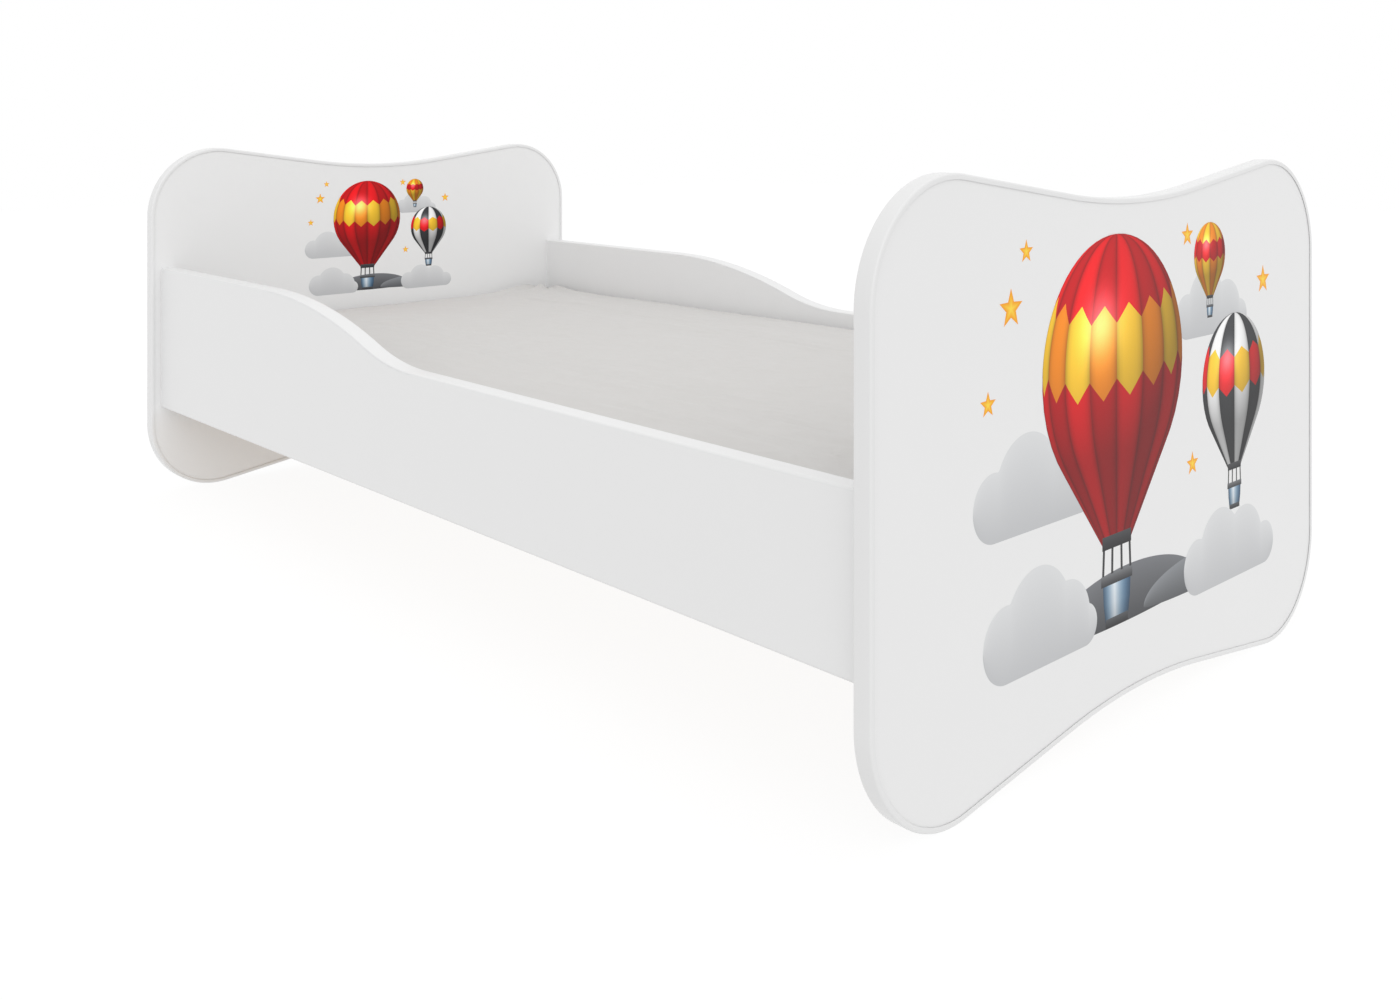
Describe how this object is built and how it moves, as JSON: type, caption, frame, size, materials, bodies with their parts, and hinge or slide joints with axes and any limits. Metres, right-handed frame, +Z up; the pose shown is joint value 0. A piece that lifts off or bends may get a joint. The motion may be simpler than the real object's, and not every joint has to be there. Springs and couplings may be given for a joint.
{
  "type": "kids bed",
  "caption": "Low child's bed: wavy head and foot boards with soft edge trim, side panels that step down in a wave, slatted base and a mattress that lifts out.",
  "frame": {"origin": "on the floor, under the middle of the bed", "axes": "+X along the bed towards the foot, +Y across it towards its right side seen from the foot, +Z up"},
  "size_m": [1.649, 0.895, 0.6035],
  "materials": {
    "white_laminate": "satin",
    "white_soft_trim": "gloss",
    "white_edge_band": "satin",
    "pine": "matte",
    "webbing": "matte",
    "beech": "matte",
    "zinc_plated_steel": "satin",
    "white_cap": "satin",
    "mattress_fabric": "matte",
    "foam": "matte",
    "zip_tape": "matte"
  },
  "bodies": {
    "frame": {"cam_bolts": "zinc_plated_steel", "cam_caps": "white_cap", "cam_locks": "zinc_plated_steel", "connector_dowels": "beech", "footboard_edge_trim": "white_soft_trim", "footboard_panel": "white_laminate", "headboard_edge_trim": "white_soft_trim", "headboard_panel": "white_laminate", "left_side_bottom_band": "white_edge_band", "left_side_panel": "white_laminate", "left_side_top_band": "white_edge_band", "left_slat_tape": "webbing", "left_support_batten": "pine", "right_side_bottom_band": "white_edge_band", "right_side_panel": "white_laminate", "right_side_top_band": "white_edge_band", "right_slat_tape": "webbing", "right_support_batten": "pine", "slat_01": "pine", "slat_02": "pine", "slat_03": "pine", "slat_04": "pine", "slat_05": "pine", "slat_06": "pine", "slat_07": "pine", "slat_08": "pine", "slat_09": "pine", "slat_10": "pine", "slat_11": "pine", "slat_12": "pine", "slat_13": "pine"},
    "mattress": {"mattress_core": "foam", "mattress_cover_base": "mattress_fabric", "mattress_cover_top": "mattress_fabric", "mattress_zip": "zip_tape"}
  },
  "joints": [
    {"name": "mattress_lift", "type": "slide", "parent": "frame", "child": "mattress", "axis": [0, 0, 1], "range_m": [0, 0.45]}
  ]
}
